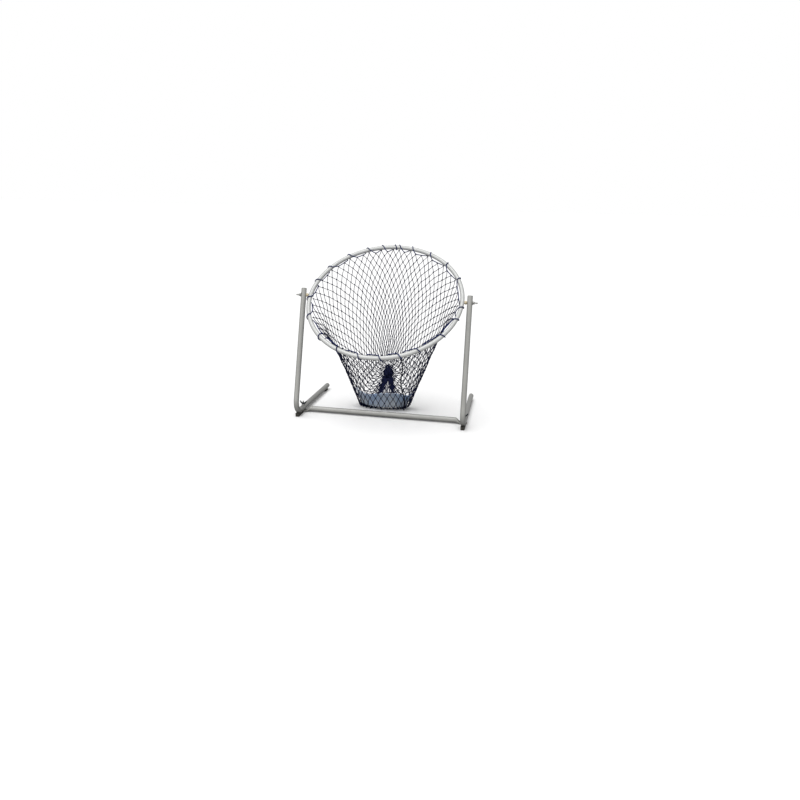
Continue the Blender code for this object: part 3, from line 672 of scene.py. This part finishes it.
def make_lacing():
    """One cord: over the tube at each wrap, then through the edge meshes to the next wrap."""
    wrap_r = HOOP_TUBE_R + LACE_OFF + LACE_R
    turns = [radians(a) for a in WRAP_ANGLES]
    points = []
    steps = 10
    for angle, following in zip(turns, [*turns[1:], turns[0] + tau]):
        for i in range(steps + 1):
            a = WRAP_FROM * (1 - 2 * i / steps)
            drift = -a / WRAP_FROM * WRAP_HALF_ARC
            points.append(hoop_point(angle + drift, HOOP_R + wrap_r * cos(a), wrap_r * sin(a)))
        between = [column_angle(half) for half in range(0, 2 * COLUMNS, 2)]
        between = [a + tau * ceil((angle - a) / tau) for a in between]
        held = sorted(a for a in between if angle + CLEAR_OF_WRAP < a < following - CLEAR_OF_WRAP)
        if not held:
            points.append(hoop_point((angle + following) / 2, HOOP_R - wrap_r * 1.1))
        for a in held:
            points.append(hoop_point(a, edge_radius(a) + TWINE_R, LACE_LIFT))
    mesh = cord_mesh("lacing", [smooth_line(points, closed=True, steps=3)], LACE_R, 8, closed=True)
    piece_of("lacing", mesh, "navy_lacing", "hoop", "lacing_cord")


# ---------------------------------------------------------------- net

def base_point(angle):
    rise = BACK_RISE * max(0, sin(angle)) ** 1.5
    return BASE + Vector((BASE_RX * cos(angle), BASE_RY * sin(angle), rise))


def wall_point(angle, down, rim_r=RIM_R):
    """On the bag's wall: down is 0 at the rim and 1 at the base."""
    rim, base = hoop_point(angle, rim_r), base_point(angle)
    heel = base + FOOT_RISE * UP
    bend = rim.lerp(base, 0.5).lerp(heel, max(0, -sin(angle)))
    return rim.lerp(bend, down).lerp(bend.lerp(base, down), down)


def neck_point(angle, back=0.0, radius=NECK_R):
    up = RIGHT.cross(NECK_AXIS)
    return TIE - back * NECK_AXIS + radius * (cos(angle) * RIGHT + sin(angle) * up)


def belly_point(angle, along, neck_angle=None):
    """On the slack under the bag: along is 0 at the base and 1 at the neck."""
    low = base_point(angle)
    high = neck_point(angle if neck_angle is None else neck_angle, NECK_LENGTH)
    point = low.lerp(high, along)
    point.z = low.z + (high.z - low.z) * along**BELLY_SHAPE
    return point


def spread(rim_angle):
    """The angle round the base of the column that starts at an angle round the rim."""
    front = 1.5 * pi
    off = (rim_angle - front + pi) % tau - pi
    total = 0.0
    for i in range(-SPREAD_WINDOW, SPREAD_WINDOW + 1):
        at = off + radians(i * SPREAD_SPACING)
        size = abs(at) * 180 / pi
        mirrored = min(size, 360 - size)
        for (a, b), (c, d) in zip(FRONT_SPREAD, FRONT_SPREAD[1:]):
            if a <= mirrored <= c:
                base_off = b + (d - b) * (mirrored - a) / (c - a)
        base_off = base_off if size <= 180 else 360 - base_off
        total += radians(base_off) * (1 if at >= 0 else -1)
    return front + total / (2 * SPREAD_WINDOW + 1)


def column_line(rim_angle):
    """A column of the netting, from the hoop down the wall, under the bag and into the neck."""
    base_angle = spread(rim_angle)
    base_angle += tau * round((rim_angle - base_angle) / tau)
    rim_r = edge_radius(rim_angle)
    wall_steps, belly_steps = 40, 24
    line = []
    for i in range(wall_steps):
        down = i / wall_steps
        ease = down * down * (3 - 2 * down)
        angle = rim_angle + (base_angle - rim_angle) * (0.5 * down + 0.5 * ease)
        line.append(wall_point(angle, down, rim_r + (RIM_R - rim_r) * min(1, down * 8)))
    neck_angle = rim_angle - NECK_FRONT * sin(rim_angle - 1.5 * pi)
    line += [belly_point(base_angle, i / belly_steps, neck_angle) for i in range(belly_steps + 1)]
    line.append(neck_point(neck_angle))
    return line


def net_knots():
    """Knots by (row, half column): even rows sit on the columns and odd rows between them.

    Where the columns stand far apart the meshes open and the rows come closer, as the twine keeps its length.
    """
    chance = Random(7)
    knots = {}
    lines = [column_line(column_angle(half)) for half in range(2 * COLUMNS)]
    for half, line in enumerate(lines):
        before, after = lines[half - 1], lines[(half + 1) % len(lines)]
        rows = [0.0]
        for i in range(len(line) - 1):
            step = line[i + 1] - line[i]
            along = step.normalized()
            across = after[i] - before[i]
            width = (across - across.dot(along) * along).length
            rows.append(rows[-1] + step.length / max(BAR**2 - width**2 / 4, (LEAST_STEP * BAR) ** 2) ** 0.5)
        for row in range(half % 2, ROWS + 1, 2):
            reached = row / ROWS * rows[-1]
            i = min(bisect_left(rows, reached, 1), len(rows) - 1)
            point = line[i - 1].lerp(line[i], (reached - rows[i - 1]) / (rows[i] - rows[i - 1]))
            ease = min(row, ROWS - row, 4) / 4
            point += ease * KNOT_STRAY * Vector([chance.uniform(-1, 1) for _ in range(3)])
            point.z = max(point.z, 1.2 * KNOT_R)
            knots[row, half] = point
    return knots


def make_net():
    """Zigzag twines that meet at the knots; each runs from the rim to the neck."""
    chance = Random(11)
    knots = net_knots()
    twines = []
    for start in range(0, 2 * COLUMNS, 2):
        for way in (1, -1):
            line = []
            half = start
            for row in range(ROWS + 1):
                here = knots[row, half % (2 * COLUMNS)]
                if line:
                    last = line[-1]
                    bow = BAR_SAG * (here - last).length
                    middle = last.lerp(here, 0.5)
                    middle += bow * Vector([chance.uniform(-1, 1), chance.uniform(-1, 1), -1])
                    middle.z = max(middle.z, TWINE_R)
                    line.append(middle)
                line.append(here)
                half += way if row % 2 == 0 else -way
            twines.append(line)
    net = piece_of("net_twine", cord_mesh("net_twine", twines, TWINE_R, 6), "navy_twine", None, "net_bag",
                   smooth=80)
    bm = bmesh.new()
    bmesh.ops.create_uvsphere(bm, u_segments=8, v_segments=5, radius=KNOT_R,
                              matrix=Matrix.Diagonal((1.15, 0.9, 0.8, 1)))
    knot = bpy.data.meshes.new("knot")
    bm.to_mesh(knot)
    bm.clear()
    for (row, _), point in knots.items():
        if row < ROWS - 2:
            axis = Vector([chance.uniform(-1, 1) for _ in range(3)]).normalized()
            place = Matrix.Translation(point) @ Matrix.Rotation(chance.uniform(0, tau), 4, axis)
            knot.transform(place)
            bm.from_mesh(knot)
            knot.transform(place.inverted())
    bpy.data.meshes.remove(knot)
    knot_piece = piece("net_knots", bm, "navy_twine", None, smooth=80)
    for soft in (net, knot_piece):
        join_hoop(soft)


def join_hoop(soft):
    """Bakes the piece's placement into its mesh."""
    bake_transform(soft)


def make_seam():
    """Two strands twisted together down the outside of the wall."""
    strands = []
    steps, first, reach, nudge = 90, 0.01, 0.985, 0.03
    for phase in (0, pi):
        line = []
        for i in range(steps + 1):
            down = first + reach * i / steps
            angle = SEAM_TOP + (SEAM_FOOT - SEAM_TOP) * down + SEAM_WANDER * sin(9 * down)
            across = (wall_point(angle + nudge, down) - wall_point(angle - nudge, down)).normalized()
            along = (wall_point(angle, min(down + nudge, 1)) - wall_point(angle, down - first)).normalized()
            outward = along.cross(across).normalized()
            twist = phase + SEAM_TURNS * tau * down
            offset = STRAND_OFF * (cos(twist) * across + sin(twist) * outward)
            point = wall_point(angle, down) + SEAM_OFF * outward + offset
            point.z = max(point.z, SEAM_LOWEST)
            line.append(point)
        strands.append(line)
    mesh = cord_mesh("side_seam", strands, STRAND_R, 6)
    seam = piece_of("side_seam", mesh, "black_cord", None, "seam_cord", smooth=80)
    join_hoop(seam)


def make_neck():
    """The binding wound round the gathered neck, and the loops of netting left beyond it."""
    chance = Random(5)
    steps = 24
    line = []
    for i in range(TIE_TURNS * steps + 1):
        share = i / (TIE_TURNS * steps)
        back = NECK_LENGTH / 3 + TIE_PITCH * TIE_TURNS * (share - 0.5)
        line.append(neck_point(tau * TIE_TURNS * share, back, NECK_R + TIE_OFF))
    mesh = cord_mesh("neck_binding", [line], TIE_R, 8)
    piece_of("neck_binding", mesh, "black_cord", "stand", "gather_tie", smooth=80)
    loops = []
    for i in range(TAIL_LOOPS):
        angle = tau * i / TAIL_LOOPS + chance.uniform(-0.1, 0.1)
        deep = chance.uniform(0.35, 1.0)
        length = TAIL_LENGTH * chance.uniform(0.72, 0.98)
        swirl = chance.uniform(-0.5, 0.5)
        loop = []
        for step in range(9):
            share = step / 8
            wide = TAIL_R * deep * (0.6 + 0.4 * sin(pi * min(1, share * 1.25))) * (1 - 0.75 * share**4)
            loop.append(neck_point(angle + swirl * share, -length * share, wide))
        loops.append(smooth_line(loop, steps=2))
    middle = neck_point(0, NECK_LENGTH * 0.6, 0)
    for _ in range(BUNCH_LOOPS):
        axis = Vector([chance.uniform(-1, 1) for _ in range(3)]).normalized()
        start = axis.orthogonal().normalized()
        wide = chance.uniform(0.4, 1) * BUNCH_R
        off = axis * (BUNCH_R**2 - wide**2) ** 0.5 * chance.uniform(-1, 1)
        loops.append([middle + off + wide * (Matrix.Rotation(tau * k / 16, 3, axis) @ start)
                      for k in range(17)])
    mesh = cord_mesh("net_end", loops, TAIL_TWINE_R, 6)
    piece_of("net_end", mesh, "navy_twine", "stand", "net_tail", smooth=80)


def wall_at(angle, height):
    """The point of the wall at a height, found by halving."""
    low, high = 0.0, 1.0
    for _ in range(20):
        middle = (low + high) / 2
        if wall_point(angle, middle).z > height:
            low = middle
        else:
            high = middle
    return wall_point(angle, middle)


def make_lining():
    """A band of thin cloth inside the foot, slack enough to ripple."""
    chance = Random(3)
    ripple = [chance.uniform(-1, 1) for _ in range(CLOTH_COLUMNS + 1)]
    bm = bmesh.new()
    rows = []
    for number, height in enumerate(CLOTH_HEIGHTS + CLOTH_INWARD):
        row = []
        for i in range(CLOTH_COLUMNS + 1):
            angle = CLOTH_FIRST + (CLOTH_LAST - CLOTH_FIRST) * i / CLOTH_COLUMNS
            if number < len(CLOTH_HEIGHTS):
                net = wall_at(angle, height * (0.91 + 0.09 * cos(3.6 * angle + 0.6)))
                inward = Vector((BASE.x - net.x, BASE.y - net.y, 0)).normalized()
                point = net + CLOTH_OFF * (inward + 0.5 * UP)
                fold = FOLD * sin(i * 1.1 + ripple[i // 6]) * (0.4 + height / FOLD_HEIGHT)
                point += fold * inward + EDGE_WAVE * ripple[i] * (number == 0) * UP
            else:
                point = belly_point(angle, height) + (CLOTH_OFF + BELLY_WAVE * ripple[i]) * UP
            row.append(bm.verts.new(point))
        rows.append(row)
    cloth_map = bm.loops.layers.uv.new("cloth")
    for r, (upper, lower) in enumerate(zip(rows, rows[1:])):
        for c in range(CLOTH_COLUMNS):
            face = bm.faces.new((upper[c], upper[c + 1], lower[c + 1], lower[c]))
            corners = ((c, r), (c + 1, r), (c + 1, r + 1), (c, r + 1))
            for loop, (u, v) in zip(face.loops, corners):
                loop[cloth_map].uv = (u * WEAVE_PITCH * 0.6, v * WEAVE_PITCH)
    bmesh.ops.recalc_face_normals(bm, faces=bm.faces)
    lining = piece("foot_lining", bm, "pale_blue_cloth", "stand", "base_lining", smooth=80)
    soften = lining.modifiers.new("soften", "SUBSURF")
    soften.levels = soften.render_levels = 1
    thick = lining.modifiers.new("cloth", "SOLIDIFY")
    thick.thickness = CLOTH_THICK


def finish_hidden_nodes():
    """The CAD nodes that stay: rubber glides, and what is inside the hoop's tubes."""
    stays = {"glide": "black_rubber", "ferrule": "zinc", "shock_cord_stop": "grey_plastic",
             "shock_cord": "elastic_cord"}
    for name, node in frame["nodes"].items():
        slot = next((stays[word] for word in stays if word in name), None)
        if slot:
            node.data.materials.clear()
            node.data.materials.append(FINISHES[slot])


FINISHES = make_finishes()
make_camera()
make_studio()
for side, word in ((-1, "left"), (1, "right")):
    make_leg(side, word)
    make_base_fixing(side, word)
    make_pivot_fixing(side, word)
make_crossbar()
make_hoop()
make_lacing()
make_net()
make_seam()
make_neck()
make_lining()
finish_hidden_nodes()
